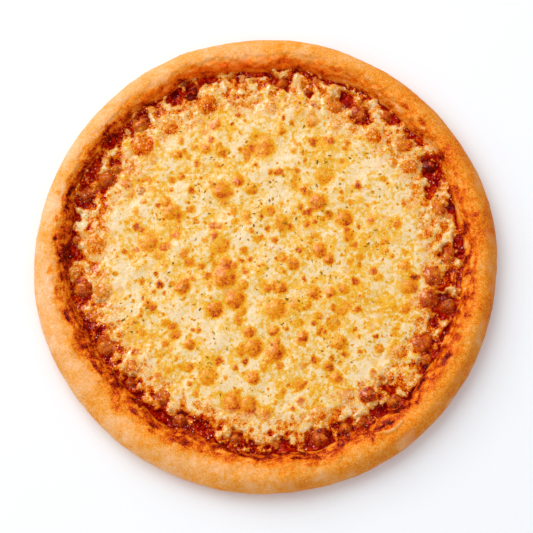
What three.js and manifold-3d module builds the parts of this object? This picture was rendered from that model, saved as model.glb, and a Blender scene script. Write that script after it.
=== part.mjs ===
// Margherita pizza, whole and uncut: a crust with a puffed rim, a layer of tomato sauce on it, a sheet of
// melted cheese that browned in blisters, flecks of dried herbs baked onto the cheese, and blobs of cheese
// that lie apart from the sheet on the sauce.
// Millimetres, +Z up. The origin is on the table, under the middle of the crust.
import * as THREE from 'three';
import { mergeVertices } from 'three/addons/utils/BufferGeometryUtils.js';
import Module from 'manifold-3d';

const wasm = await Module();
wasm.setup();

// ---- Driving dimensions ----
const CRUST_RADIUS = 150; // to the outside of the rim
const RIM_HEIGHT = 19.5; // to the crest of the rim
const RIM_CREST_INSET = 10.5; // from the outside in to the crest
const RIM_BULGE_HEIGHT = 8.5; // where the rim is widest
const TABLE_INSET = 5.5; // from the outside in to where the bottom meets the table
const BASE_THICKNESS = 5.5; // of the dough under the sauce
const SAUCE_RADIUS = 128; // where the sauce meets the rim's inner slope, before its waves
const SAUCE_EDGE_INSET = 1; // from there in to where the sauce ends
const SAUCE_THICKNESS = 1.8;
const SAUCE_LEVEL_RADIUS = 112; // inside this the sauce is level
const SAUCE_ROUGH_WITHIN = 8; // of that radius, outwards, the sauce gets its full ripples
const CHEESE_RADIUS = 121; // of the cheese sheet, before its lobes
const CHEESE_THICKNESS = 3.2;
const CHEESE_SINK = 1.2; // of the cheese below the sauce's top, before the sauce is taken off it
const CHEESE_LIP = 1.6; // of height left at the sheet's edge
const CHEESE_EDGE_ROUNDING = 22; // the higher, the steeper the sheet ends
const LOBE_FADE = 6; // the higher, the nearer the lobes stay to the sheet's edge
const SAUCE_MARGIN = 3; // of bare sauce, at least, between the cheese sheet and the rim
const GAP = 0.3; // between two layers
const SEGMENTS = 108; // round the crust and the sauce
const CHEESE_RINGS = 17; // from the middle of the cheese to its edge

// Waves round the pizza: how many, how far in millimetres, and the angle of a crest in degrees.
// Those of the outside have even counts, so that the pizza stays centred on the origin.
const OUTSIDE_WAVES = [[2, 0.4, 30], [4, 0.35, 20], [6, 0.3, 70], [10, 0.2, 10]];
const CREST_WAVES = [[2, 0.6, 200], [3, 0.6, 80], [7, 0.5, 20], [11, 0.45, 9], [17, 0.25, 4]];
const SAUCE_EDGE_WAVES = [
  [1, 4.2, 80], [2, 1.3, -30], [3, 1.4, 40], [9, 0.9, 34], [14, 0.8, 5], [23, 0.6, 3],
];
const CHEESE_EDGE_WAVES = [
  [1, 2.8, 80], [3, 1.2, 40], [8, 1.8, 30], [13, 2, 12], [21, 1.8, 7], [34, 1.1, 5],
];

// Bubbles under the rim's skin: the angle in degrees, the distance from the middle, how wide and how high
const RIM_BUBBLES = [
  [12, 140, 9, 1.0], [43, 138, 8, 1.2], [78, 141, 10, 0.9], [118, 139, 8, 1.1], [160, 138, 10, 1.2],
  [205, 138, 9, 0.9], [243, 131, 8, 1.6], [278, 132, 8, 1.4], [307, 129, 7, 2.0], [333, 133, 8, 1.2],
];

// Ripples over a surface: length of the wave, how far, its direction and its phase in degrees
const CHEESE_RIPPLES = [[47, 0.35, 20, 0], [31, 0.35, 110, 60], [23, 0.3, 65, 200], [17, 0.25, 150, 320]];
const SAUCE_RIPPLES = [[19, 0.35, 35, 90], [13, 0.35, 125, 10], [9, 0.25, 80, 250]];

// The blisters that stand out most: x, y and radius
const BLISTERS = [
  [-28, -4, 8], [-20, -21, 6], [-33, -28, 5], [-54, -13, 5], [-28, 50, 6], [-18, 57, 4], [34, 43, 5],
  [51, 32, 5], [35, 11, 5], [7, -28, 6], [-8, -53, 6], [6, -56, 6], [-8, -73, 4], [-16, -93, 9],
  [34, -97, 6], [53, -85, 5], [48, -49, 5], [42, -66, 4], [86, -55, 6], [93, -13, 5], [105, -22, 7],
  [108, -7, 6], [102, -50, 6], [93, 66, 6], [90, 81, 6], [70, 86, 5], [45, 107, 6], [-38, 107, 7],
  [-80, 80, 7], [-62, 92, 5], [-99, 59, 5], [-110, 14, 6], [-106, -17, 6], [-87, -65, 4], [-66, -85, 5],
  [66, -85, 6], [-77, 17, 6], [-61, 36, 5], [-2, 80, 6], [31, -17, 4],
];
const SMALL_BLISTERS = 20; // spread evenly between those above
const SMALL_BLISTER_RADIUS = [2.6, 3.6];
const BLISTERED_RADIUS = 108; // of the disc that the small blisters are spread over
const BLISTER_SPACING = 1.5; // between a small blister or a fleck and the blister beside it
const BLISTER_SPREAD = 1.15; // of the ball a blister is cut from, for the blister's radius
const BLISTER_HEIGHT_SHARE = 0.38; // of that ball, squashed
const BLISTER_SINK_SHARE = 0.1; // of the radius, that the ball's middle lies below the cheese's top

// Cheese blobs that lie apart on the sauce: the angle in degrees, the distance from the middle, the radius
const BLOBS = [
  [3, 119, 4.5], [14, 124, 3], [31, 125, 4.5], [52, 125, 4.5], [59, 118, 4.5], [75, 127, 3], [97, 127, 3],
  [112, 125, 3.5], [130, 124, 4.5], [146, 126, 3], [158, 125, 4], [173, 124, 3], [187, 119, 6],
  [206, 115, 6], [222, 117, 3], [241, 114, 4.5], [260, 116, 3.5], [273, 119, 3], [287, 117, 6],
  [301, 120, 3], [313, 122, 4], [329, 120, 4], [348, 120, 5],
];
const BLOB_CLEARANCE = 0.8; // between a blob and the cheese sheet
const BLOB_HEIGHT_SHARE = 0.62; // of a blob's radius
const BLOB_LIFT = 0.4; // of its middle above the sauce
const BLOB_EDGE_CLEARANCE = 1; // between a blob and the sauce's edge

const HERBS = 50; // flecks on the cheese, fewer those that a blister is in the way of
const HERB_DISC_RADIUS = 98; // of the disc that they are spread over
const HERB_LENGTH = [1.8, 3.2];
const HERB_WIDTH = 1.4;
const HERB_THICKNESS = 0.9;

// Where each kind of draw starts counting, so that no two kinds share their numbers
const DRAWS = {
  herbPlace: 10, smallBlisterPlace: 40, blobShape: 300, blobTurn: 400, blisterShape: 500, blisterTurn: 600,
  smallBlisterSize: 700, herbLength: 800, herbTurn: 900,
};

// ---- Rules shared by the layers ----
const radians = THREE.MathUtils.degToRad;
const polar = (angle, radius) => [radius * Math.cos(angle), radius * Math.sin(angle)];

// The same draw from 0 to 1 for the same number, every time
function draw(number) {
  const long = Math.sin(number * 12.9898) * 43758.5453;
  return long - Math.floor(long);
}

const between = ([low, high], share) => low + (high - low) * share;

function waves(terms, angle) {
  const height = ([count, size, crest]) => size * Math.cos(count * (angle - radians(crest)));
  return terms.reduce((sum, term) => sum + height(term), 0);
}

function ripples(terms, x, y) {
  return terms.reduce((sum, [length, size, direction, phase]) => {
    const along = x * Math.cos(radians(direction)) + y * Math.sin(radians(direction));
    return sum + size * Math.cos((2 * Math.PI * along) / length + radians(phase));
  }, 0);
}

function rimBubbles(x, y) {
  return RIM_BUBBLES.reduce((sum, [degrees, distance, width, height]) => {
    const [bx, by] = polar(radians(degrees), distance);
    return sum + height * Math.exp(-(((x - bx) ** 2 + (y - by) ** 2) / (width / 2) ** 2));
  }, 0);
}

const sauceEdge = (angle) => SAUCE_RADIUS + waves(SAUCE_EDGE_WAVES, angle);

function cheeseEdge(angle) {
  return Math.min(CHEESE_RADIUS + waves(CHEESE_EDGE_WAVES, angle), sauceEdge(angle) - SAUCE_MARGIN);
}

// A place on the even, round pizza, moved to where the uneven outline and sauce edge put it
function unevenRadius(radius, angle) {
  const edge = sauceEdge(angle);
  if (radius <= SAUCE_RADIUS) return (radius * edge) / SAUCE_RADIUS;
  const share = (radius - SAUCE_RADIUS) / (CRUST_RADIUS - SAUCE_RADIUS);
  return edge + share * (CRUST_RADIUS + waves(OUTSIDE_WAVES, angle) - edge);
}

const SAUCE_LEVEL = BASE_THICKNESS + SAUCE_THICKNESS;
const CHEESE_LEVEL = SAUCE_LEVEL + GAP + CHEESE_THICKNESS;

function sauceTop(x, y) {
  const outwards = Math.hypot(x, y) - SAUCE_LEVEL_RADIUS;
  const rough = THREE.MathUtils.smoothstep(outwards, 0, SAUCE_ROUGH_WITHIN);
  return SAUCE_LEVEL + rough * ripples(SAUCE_RIPPLES, x, y);
}

const cheeseTop = (x, y) => CHEESE_LEVEL + ripples(CHEESE_RIPPLES, x, y);

// ---- Solids ----
function toSolid(geometry) {
  geometry.deleteAttribute('normal');
  geometry.deleteAttribute('uv');
  const merged = mergeVertices(geometry, 1e-4);
  return new wasm.Manifold(
    new wasm.Mesh({
      numProp: 3,
      vertProperties: merged.attributes.position.array,
      triVerts: new Uint32Array(merged.index.array),
    }),
  );
}

function toGeometry(solid) {
  const mesh = solid.getMesh();
  return new THREE.BufferGeometry()
    .setAttribute('position', new THREE.BufferAttribute(mesh.vertProperties, 3))
    .setIndex(new THREE.BufferAttribute(mesh.triVerts, 1));
}

const largestBody = (solid) => solid.decompose().reduce((a, b) => (a.volume() > b.volume() ? a : b));

// A profile of [radius, height] points turned about Z, each vertex then moved by shape(radius, height, angle)
function turned(profile, shape) {
  const points = profile.map(([radius, height]) => new THREE.Vector2(radius, height));
  const geometry = new THREE.LatheGeometry(points, SEGMENTS).rotateX(Math.PI / 2);
  const position = geometry.attributes.position;
  for (let i = 0; i < position.count; i++) {
    const [x, y, z] = [position.getX(i), position.getY(i), position.getZ(i)];
    const radius = Math.hypot(x, y);
    const angle = Math.atan2(y, x);
    const [movedRadius, movedHeight] = shape(radius, z, angle);
    position.setXYZ(i, ...polar(angle, radius < 1e-6 ? 0 : movedRadius), movedHeight);
  }
  return toSolid(geometry);
}

// A top of rings that each hold six points more than the last, over a level bottom.
// place(share, angle) gives a point of the top for its share of the way out.
function ringedSheet(rings, bottom, place) {
  const firstOf = (ring) => (ring === 0 ? 0 : 1 + 3 * ring * (ring - 1));
  const pointOf = (ring, i) => firstOf(ring) + (ring === 0 ? 0 : i % (6 * ring));
  const position = place(0, 0);
  const index = [];
  for (let ring = 1; ring <= rings; ring++) {
    for (let i = 0; i < 6 * ring; i++) {
      position.push(...place(ring / rings, (i * Math.PI) / (3 * ring)));
      const sixth = Math.floor(i / ring);
      const inner = pointOf(ring - 1, i - sixth);
      index.push(pointOf(ring, i), pointOf(ring, i + 1), inner);
      if (i % ring < ring - 1) {
        index.push(pointOf(ring, i + 1), pointOf(ring - 1, i - sixth + 1), inner);
      }
    }
  }
  const edge = firstOf(rings);
  const below = position.length / 3 - edge;
  const edgeAtBottom = position.slice(3 * edge).map((value, i) => (i % 3 === 2 ? bottom : value));
  position.push(...edgeAtBottom, 0, 0, bottom);
  const middle = position.length / 3 - 1;
  for (let i = 0; i < 6 * rings; i++) {
    const [a, b] = [pointOf(rings, i), pointOf(rings, i + 1)];
    index.push(a, a + below, b, b, a + below, b + below, middle, b + below, a + below);
  }
  const geometry = new THREE.BufferGeometry();
  geometry.setAttribute('position', new THREE.Float32BufferAttribute(position, 3));
  geometry.setIndex(index);
  return toSolid(geometry);
}

// Points of a quarter of an ellipse from one angle to the other, in degrees
function arc([centreRadius, centreHeight], [wide, high], from, to, steps) {
  return Array.from({ length: steps }, (_, i) => {
    const angle = radians(from + ((to - from) * i) / (steps - 1));
    return [centreRadius + wide * Math.cos(angle), centreHeight + high * Math.sin(angle)];
  });
}

function crustSolid() {
  const crest = CRUST_RADIUS - RIM_CREST_INSET;
  const foot = SAUCE_RADIUS - SAUCE_EDGE_INSET;
  const tableEdge = CRUST_RADIUS - TABLE_INSET;
  const underside = arc([tableEdge, RIM_BULGE_HEIGHT], [TABLE_INSET, RIM_BULGE_HEIGHT], -90, 0, 4);
  const outside = arc([crest, RIM_BULGE_HEIGHT], [RIM_CREST_INSET, RIM_HEIGHT - RIM_BULGE_HEIGHT], 0, 90, 6);
  const inside = arc([crest, BASE_THICKNESS], [foot - crest, RIM_HEIGHT - BASE_THICKNESS], 90, 0, 6);
  const profile = [[0, 0], ...underside, ...outside.slice(1), ...inside.slice(1), [0, BASE_THICKNESS]];
  return turned(profile, (radius, height, angle) => {
    const moved = unevenRadius(radius, angle);
    const risen = THREE.MathUtils.smoothstep(height, SAUCE_LEVEL + 1, RIM_HEIGHT);
    const bubbles = rimBubbles(...polar(angle, moved));
    return [moved, height + risen * waves(CREST_WAVES, angle) + Math.sqrt(risen) * bubbles];
  });
}

// The sauce, or with a rise and a lower bottom, the space that what lies on the sauce keeps clear of
function sauceSolid(rise = 0, bottom = BASE_THICKNESS + GAP) {
  const edge = SAUCE_RADIUS - SAUCE_EDGE_INSET;
  const rippled = (SAUCE_LEVEL_RADIUS + edge) / 2;
  const profile = [
    [0, bottom], [edge - 1.5, bottom], [edge, SAUCE_LEVEL - 0.6], [edge - 1.2, SAUCE_LEVEL],
    [rippled, SAUCE_LEVEL], [SAUCE_LEVEL_RADIUS, SAUCE_LEVEL], [0, SAUCE_LEVEL],
  ];
  return turned(profile, (radius, height, angle) => {
    const moved = unevenRadius(radius, angle);
    const isRippled = Math.abs(radius - rippled) < 1e-3;
    const level = isRippled ? sauceTop(...polar(angle, moved)) : height;
    return [moved, height > bottom ? level + rise : level];
  });
}

// A flat-bottomed blob of cheese on the sauce, grown all round by extra
function blobShape([degrees, distance, radius], index, extra = 0) {
  const angle = radians(degrees);
  const furthest = sauceEdge(angle) - 1.2 * radius - BLOB_EDGE_CLEARANCE;
  const [x, y] = polar(angle, Math.min(distance, furthest));
  const stretch = between([0.85, 1.15], draw(DRAWS.blobShape + index));
  const geometry = new THREE.SphereGeometry(1, 7, 5)
    .rotateX(Math.PI / 2)
    .scale(radius * stretch + extra, radius / stretch + extra, radius * BLOB_HEIGHT_SHARE + extra)
    .rotateZ(Math.PI * draw(DRAWS.blobTurn + index))
    .translate(x, y, sauceTop(x, y) + BLOB_LIFT);
  return toSolid(geometry);
}

function blister(x, y, radius, index) {
  const stretch = between([0.88, 1.12], draw(DRAWS.blisterShape + index));
  const steps = radius < SMALL_BLISTER_RADIUS[1] ? [6, 4] : [7, 5];
  const geometry = new THREE.SphereGeometry(BLISTER_SPREAD * radius, ...steps)
    .rotateX(Math.PI / 2)
    .scale(stretch, 1 / stretch, BLISTER_HEIGHT_SHARE)
    .rotateZ(Math.PI * draw(DRAWS.blisterTurn + index))
    .translate(x, y, cheeseTop(x, y) - BLISTER_SINK_SHARE * radius);
  return toSolid(geometry);
}

// count places spread evenly over a disc as seeds are on a sunflower, nudged a little by a draw
function spread(count, discRadius, seed) {
  const goldenAngle = Math.PI * (3 - Math.sqrt(5));
  return Array.from({ length: count }, (_, i) => {
    const radius = discRadius * Math.sqrt((i + 0.5 + 0.6 * (draw(seed + i) - 0.5)) / count);
    return polar(i * goldenAngle + 0.4 * draw(seed + i + 0.5), radius);
  });
}

function clearOf(blisters, [x, y], reach) {
  return blisters.every(([bx, by, radius]) => Math.hypot(bx - x, by - y) > radius + reach + BLISTER_SPACING);
}

function smallBlisters() {
  return spread(SMALL_BLISTERS + BLISTERS.length, BLISTERED_RADIUS, DRAWS.smallBlisterPlace)
    .map(([x, y], i) => [x, y, between(SMALL_BLISTER_RADIUS, draw(DRAWS.smallBlisterSize + i))])
    .filter(([x, y, radius]) => clearOf(BLISTERS, [x, y], radius))
    .slice(0, SMALL_BLISTERS);
}

// A dried leaf's scrap, lying on the cheese and half sunk in it
function herb(x, y, index) {
  const length = between(HERB_LENGTH, draw(DRAWS.herbLength + index));
  const geometry = new THREE.OctahedronGeometry(1)
    .scale(length / 2, HERB_WIDTH / 2, HERB_THICKNESS / 2)
    .rotateZ(2 * Math.PI * draw(DRAWS.herbTurn + index))
    .translate(x, y, cheeseTop(x, y));
  return toSolid(geometry);
}

function cheeseSolid(blobs, sauceSpace) {
  const bottom = SAUCE_LEVEL - CHEESE_SINK;
  const lip = bottom + CHEESE_LIP;
  let cheese = ringedSheet(CHEESE_RINGS, bottom, (share, angle) => {
    const reach = THREE.MathUtils.lerp(CHEESE_RADIUS, cheeseEdge(angle), share ** LOBE_FADE);
    const [x, y] = polar(angle, share * reach);
    return [x, y, lip + (cheeseTop(x, y) - lip) * Math.sqrt(1 - share ** CHEESE_EDGE_ROUNDING)];
  });
  const blisters = [...BLISTERS, ...smallBlisters()];
  blisters.forEach(([x, y, radius], i) => {
    cheese = cheese.add(blister(x, y, radius, i));
  });
  spread(HERBS, HERB_DISC_RADIUS, DRAWS.herbPlace)
    .filter((place) => clearOf(blisters, place, 0))
    .forEach(([x, y], i) => {
      cheese = cheese.add(herb(x, y, i));
    });
  blobs.forEach((blob, i) => {
    cheese = cheese.subtract(blobShape(blob, i, BLOB_CLEARANCE));
  });
  return largestBody(cheese.subtract(sauceSpace));
}

// ---- Materials ----
const material = (color, roughness) => new THREE.MeshStandardMaterial({ color, roughness, metalness: 0 });
const bakedDough = material('#dca05c', 0.75);
const tomatoSauce = material('#9c2710', 0.35);
const meltedCheese = material('#efcf86', 0.45);
const brownedCheese = material('#b5602a', 0.45);

// ---- The pizza ----
const pizza = new THREE.Group();

function addPiece(name, solid, finish) {
  const piece = new THREE.Mesh(toGeometry(solid), finish);
  piece.name = name;
  pizza.add(piece);
}

const crust = crustSolid();
const sauce = sauceSolid();
const sauceSpace = sauceSolid(GAP, 0);
const crustSpace = crust.translate([0, 0, GAP]).add(crust);

addPiece('crust', crust, bakedDough);
addPiece('sauce', largestBody(sauce.subtract(crustSpace)), tomatoSauce);
addPiece('cheese', cheeseSolid(BLOBS, sauceSpace), meltedCheese);
BLOBS.forEach((blob, i) => {
  const solid = largestBody(blobShape(blob, i).subtract(sauceSpace).subtract(crustSpace));
  addPiece(`cheese_blob_${String(i + 1).padStart(2, '0')}`, solid, brownedCheese);
});

export default pizza;
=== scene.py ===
"""The looks of a margherita pizza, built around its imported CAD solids.

Shapes are worked out in millimetres and become metres in make_piece(). The origin is on the table,
under the middle of the crust. +Z is up. Angles are counted from +X towards +Y, in degrees where a
constant holds them. The rules under "The CAD's rules" repeat those of the CAD solids, so that each
piece lies where its solid is.
"""

import math

import bpy
import numpy as np
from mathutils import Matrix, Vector


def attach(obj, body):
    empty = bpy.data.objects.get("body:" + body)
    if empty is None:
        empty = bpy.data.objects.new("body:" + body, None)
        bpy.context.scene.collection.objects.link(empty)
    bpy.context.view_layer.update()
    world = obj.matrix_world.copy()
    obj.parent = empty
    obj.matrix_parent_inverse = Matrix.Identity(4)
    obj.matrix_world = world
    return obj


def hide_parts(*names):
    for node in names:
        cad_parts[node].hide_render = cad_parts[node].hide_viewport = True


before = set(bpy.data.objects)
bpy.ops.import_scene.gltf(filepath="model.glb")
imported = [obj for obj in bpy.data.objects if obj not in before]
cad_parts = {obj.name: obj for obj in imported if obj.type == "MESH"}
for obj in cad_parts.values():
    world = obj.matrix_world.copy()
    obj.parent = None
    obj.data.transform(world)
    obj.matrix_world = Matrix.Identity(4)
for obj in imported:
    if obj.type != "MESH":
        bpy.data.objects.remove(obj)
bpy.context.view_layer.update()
MM = 0.001

# ---- The CAD's rules ----
CRUST_RADIUS = 150
RIM_HEIGHT = 19.5
RIM_CREST_INSET = 10.5
RIM_BULGE_HEIGHT = 8.5
TABLE_INSET = 5.5
BASE_THICKNESS = 5.5
SAUCE_RADIUS = 128
SAUCE_EDGE_INSET = 1
SAUCE_LEVEL = BASE_THICKNESS + 1.8
CHEESE_LEVEL = SAUCE_LEVEL + 3.5

# How many waves round the pizza, how far, and the angle of a crest
OUTSIDE_WAVES = [(2, 0.4, 30), (4, 0.35, 20), (6, 0.3, 70), (10, 0.2, 10)]
CREST_WAVES = [(2, 0.6, 200), (3, 0.6, 80), (7, 0.5, 20), (11, 0.45, 9), (17, 0.25, 4)]
SAUCE_EDGE_WAVES = [(1, 4.2, 80), (2, 1.3, -30), (3, 1.4, 40), (9, 0.9, 34), (14, 0.8, 5), (23, 0.6, 3)]

# Bubbles under the rim's skin: angle, distance from the middle, width and height
RIM_BUBBLES = [
    (12, 140, 9, 1.0), (43, 138, 8, 1.2), (78, 141, 10, 0.9), (118, 139, 8, 1.1), (160, 138, 10, 1.2),
    (205, 138, 9, 0.9), (243, 131, 8, 1.6), (278, 132, 8, 1.4), (307, 129, 7, 2.0), (333, 133, 8, 1.2),
]

# Length of a ripple, how far, its direction and phase
CHEESE_RIPPLES = [(47, 0.35, 20, 0), (31, 0.35, 110, 60), (23, 0.3, 65, 200), (17, 0.25, 150, 320)]

# Cheese blobs apart on the sauce: angle, distance from the middle and radius
BLOBS = [
    (3, 119, 4.5), (14, 124, 3), (31, 125, 4.5), (52, 125, 4.5), (59, 118, 4.5), (75, 127, 3),
    (97, 127, 3), (112, 125, 3.5), (130, 124, 4.5), (146, 126, 3), (158, 125, 4), (173, 124, 3),
    (187, 119, 6), (206, 115, 6), (222, 117, 3), (241, 114, 4.5), (260, 116, 3.5), (273, 119, 3),
    (287, 117, 6), (301, 120, 3), (313, 122, 4), (329, 120, 4), (348, 120, 5),
]
BLOB_HEIGHT_SHARE = 0.62

# ---- What shows on the cheese ----
# Blisters: x, y, radius, how browned from 0 to 1, and how high for the radius
BLISTERS = [
    (-27, -6, 7.2, 0.75, 0.3), (-26.5, 2, 4.2, 0.7, 0.25), (-20, -21, 6, 0.8, 0.3),
    (-33, -28, 5, 0.95, 0.3), (-54, -13, 4.5, 0.85, 0.3), (7, -28, 6, 0.6, 0.25),
    (-8, -53, 5.5, 0.75, 0.3), (6, -56, 5.5, 0.85, 0.3), (-28, 50, 5.5, 0.75, 0.25),
    (-18, 57, 4, 0.7, 0.3), (-9, 51, 3.2, 0.5, 0.3), (34, 43, 5, 0.75, 0.2), (51, 32, 5, 0.8, 0.25),
    (35, 11, 4.5, 0.85, 0.3), (41, 5, 3.2, 0.98, 0.3), (11, 30, 3.6, 0.65, 0.2),
    (24, -46, 3.4, 0.75, 0.3), (5, -42, 3.4, 0.7, 0.3), (-11, -43, 3.4, 0.6, 0.2),
    (48, -50, 4.6, 0.6, 0.2), (-49, -51, 3.4, 0.85, 0.3), (31, -17, 3.8, 0.6, 0.3),
    (42, -17, 3.2, 0.5, 0.2), (51, -15, 3.2, 0.5, 0.2), (-80, 80, 7, 0.85, 0.3), (-62, 92, 5, 0.7, 0.3),
    (-38, 107, 6.5, 0.8, 0.35), (-57, 74, 2.6, 0.7, 0.3), (-90, 55, 3.4, 0.6, 0.3),
    (-2, 80, 7, 0.35, 0.1), (-29, 76, 3.2, 0.6, 0.2), (-12, 76, 2.8, 0.6, 0.2), (4, 105, 3.2, 0.7, 0.3),
    (45, 107, 5.5, 0.7, 0.3), (46, 94, 3.4, 0.55, 0.2), (24, 52, 2.6, 0.6, 0.2), (38, 60, 5, 0.3, 0.1),
    (-33, 94, 3.6, 0.65, 0.2), (-39, 78, 3, 0.6, 0.2), (30, 96, 3.6, 0.5, 0.2), (10, 90, 3, 0.5, 0.2),
    (70, 86, 4.6, 0.55, 0.2), (90, 81, 5.2, 0.85, 0.3), (93, 66, 5, 0.6, 0.25), (83, 69, 2.8, 0.6, 0.2),
    (-110, 14, 6, 0.5, 0.25), (-105, -16, 5, 0.6, 0.3), (-87, -65, 4, 0.85, 0.3),
    (-123, -3, 5.5, 0.5, 0.2), (-76, 17, 6, 0.45, 0.15), (-61, 36, 5, 0.4, 0.15), (-65, 43, 3, 0.6, 0.2),
    (-94, -44, 2.8, 0.75, 0.2), (105, 22, 3.2, 0.6, 0.2), (93, -13, 5, 0.65, 0.25),
    (86, -56, 5, 0.75, 0.25), (90, 1, 3.2, 0.6, 0.2), (103, 43, 3.2, 0.6, 0.2), (90, -28, 3.2, 0.6, 0.2),
    (112, 39, 4.6, 0.85, 0.3), (74, -54, 2.6, 0.8, 0.3), (-8, -73, 3.8, 0.65, 0.3),
    (-22, -90, 6, 0.75, 0.2), (-11, -92, 5.5, 0.75, 0.2), (-16, -99, 5, 0.7, 0.15),
    (-1, -97, 4, 0.55, 0.15), (41, -66, 3.2, 0.95, 0.3), (46, -73, 3.8, 0.65, 0.3),
    (53, -85, 4.4, 0.7, 0.3), (34, -97, 5, 0.75, 0.3), (22, -77, 3.6, 0.6, 0.2), (-37, -72, 5, 0.5, 0.2),
    (81, -73, 2.6, 0.8, 0.3),
    # Lesser ones
    (25, 36, 1.8, 0.95, 0.1), (3, 37, 3.2, 0.6, 0.1), (-3, 33, 1.6, 0.8, 0.1), (27, 29, 2.2, 0.7, 0.1),
    (54, 20, 3, 0.75, 0.1), (57, 15, 2.2, 0.85, 0.1), (-31, 27, 1.8, 0.9, 0.1), (-46, 31, 1.5, 0.8, 0.1),
    (-66, 13, 2.6, 1.0, 0.1), (-30, 14, 5, 0.3, 0.1), (-42, 1, 2.4, 0.3, 0.1), (-38, -6, 2.6, 0.7, 0.2),
    (1, -14, 2.4, 0.8, 0.1), (10, -14, 3.6, 0.55, 0.2), (19, -25, 3.2, 0.3, 0.1), (18, 2, 3.6, 0.6, 0.1),
    (11, 6, 2.8, 0.6, 0.1), (6, 18, 2, 0.75, 0.1), (35, -41, 2, 0.95, 0.1), (39, -43, 1.3, 0.95, 0.1),
    (44, -37, 4, 0.3, 0.1), (22, -36, 2.2, 0.3, 0.1), (34, -32, 2.6, 0.3, 0.1), (49, -28, 4, 0.3, 0.1),
    (27, -25, 2, 0.3, 0.1), (-16, -29, 3, 0.3, 0.1), (-19, -33, 1.8, 0.75, 0.1),
    (-15, -12, 3.2, 0.55, 0.1), (-13, 34, 3, 0.3, 0.1), (-20, 30, 1.8, 0.4, 0.1),
    (-55, 60, 2.2, 0.4, 0.1), (-62, 51, 1.5, 0.7, 0.1), (8, -49, 1.8, 0.75, 0.1),
    (-20, -66, 1.6, 0.85, 0.1), (-50, -66, 2.8, 0.55, 0.1), (25, -65, 2, 0.5, 0.1),
    (-59, -45, 3.2, 0.75, 0.1),
]

# Domes of cheese among the sauce, fat and red: angle, distance from the middle, radius, and redness from
# 0 to 1
DOMES = [
    (150.5, 118.5, 5, 0.75), (146, 117, 3.4, 0.7), (131, 124, 5, 0.65), (66.5, 116, 4.5, 0.45),
    (42.5, 120, 5, 0.3), (58.5, 118, 4, 0.7), (35, 117, 3.6, 0.45), (18, 119, 4.5, 0.4),
    (3, 118, 4.5, 0.6), (158, 126, 4, 0.85), (113.5, 134, 3.5, 0.8), (334, 113.5, 6, 0.8),
    (308, 107, 5, 0.9), (296, 118, 4, 0.8), (349, 107, 6.5, 0.72), (357, 108, 6, 0.68),
    (232, 109, 4.8, 0.7), (218, 109, 4.8, 0.3), (190, 108, 5.5, 0.3), (196, 117, 3.4, 0.5),
    (187, 120, 5, 0.75), (207, 116, 5.5, 0.6), (221, 117, 3, 0.8), (241, 115, 4.5, 0.9),
    (260, 115, 3.5, 0.7), (287, 118, 5.5, 0.8), (313, 122, 4, 0.8), (301, 121, 3, 0.7),
    (330, 121, 4, 0.8), (348, 121, 5, 0.95), (148, 95.5, 3.2, 0.1), (353, 127, 3, 0.6),
    (85, 122, 3.5, 0.8), (97, 121, 3, 0.4), (77, 119, 2, 0.8),
]

PHOTO_PIXELS = 533  # the width and the height of the frame
PIZZA_PIXELS = (462.6, 454.6)  # the pizza's width and height in it
PIZZA_MIDDLE = (265.7, 267.0)  # from the frame's left and top
CAMERA_ELEVATION = 79.5
CAMERA_DISTANCE = 1300  # millimetres
AIM = (0.4, -2.6, RIM_BULGE_HEIGHT)
SEEN_WIDTH = 2 * CRUST_RADIUS * PHOTO_PIXELS / 461.6  # of the frame at the aim's distance


def camera_axes():
    """Unit vectors from the aim towards the camera, and up the picture; the picture's right is +X."""
    elevation = math.radians(CAMERA_ELEVATION)
    away = np.array((0, -math.cos(elevation), math.sin(elevation)))
    return away, np.array((0, math.sin(elevation), math.cos(elevation)))


def from_picture(x, y, height):
    """The place at a height that the camera shows at x, y. These are read off the picture, in millimetres
    from the pizza's middle, on a scale that gives the pizza its diameter both across and up the picture."""
    away, up = camera_axes()
    pixels = np.array((x * PIZZA_PIXELS[0], -y * PIZZA_PIXELS[1])) / (2 * CRUST_RADIUS) + PIZZA_MIDDLE
    right_by, down_by = (pixels - PHOTO_PIXELS / 2) * SEEN_WIDTH / PHOTO_PIXELS
    camera = np.array(AIM) + CAMERA_DISTANCE * away
    ray = np.array((right_by, 0, 0)) - down_by * up - CAMERA_DISTANCE * away
    place = camera + ray * (height - camera[2]) / ray[2]
    return float(place[0]), float(place[1])


# ---- Noise and small helpers ----
def noise(x, y, z=0.0, size=1.0, seed=0):
    """Gradient noise of about -1 to 1 at places in millimetres, with features of about that size."""
    rng = np.random.default_rng(seed)
    order = np.tile(rng.permutation(256), 2)
    slopes = rng.normal(size=(256, 3))
    slopes /= np.linalg.norm(slopes, axis=1)[:, None]
    place = np.stack(np.broadcast_arrays(x, y, z), -1).astype(float) / size + rng.uniform(0, 100, 3)
    cell = np.floor(place).astype(int)
    part = place - cell
    fade = part**3 * (part * (part * 6 - 15) + 10)
    total = 0.0
    for corner in np.ndindex(2, 2, 2):
        i, j, k = np.moveaxis((cell + corner) & 255, -1, 0)
        slope = slopes[order[order[order[i] + j] + k]]
        weight = np.prod(np.where(corner, fade, 1 - fade), axis=-1)
        total = total + weight * np.sum(slope * (part - corner), axis=-1)
    return 2 * total


def rough(x, y, z=0.0, size=1.0, seed=0, octaves=3):
    """Noise with finer and weaker noise on it, each octave half the size and half the height."""
    return sum(noise(x, y, z, size / 2**i, seed + i) / 2**i for i in range(octaves))


def ring_noise(angle, across, along_size, across_size, seed):
    """Noise that is drawn out round the rim: its features' size along it and across it, in millimetres."""
    around = CRUST_RADIUS - RIM_CREST_INSET
    x, y = around * np.cos(angle) / along_size, around * np.sin(angle) / along_size
    return noise(x, y, across / across_size, seed=seed)


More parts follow.
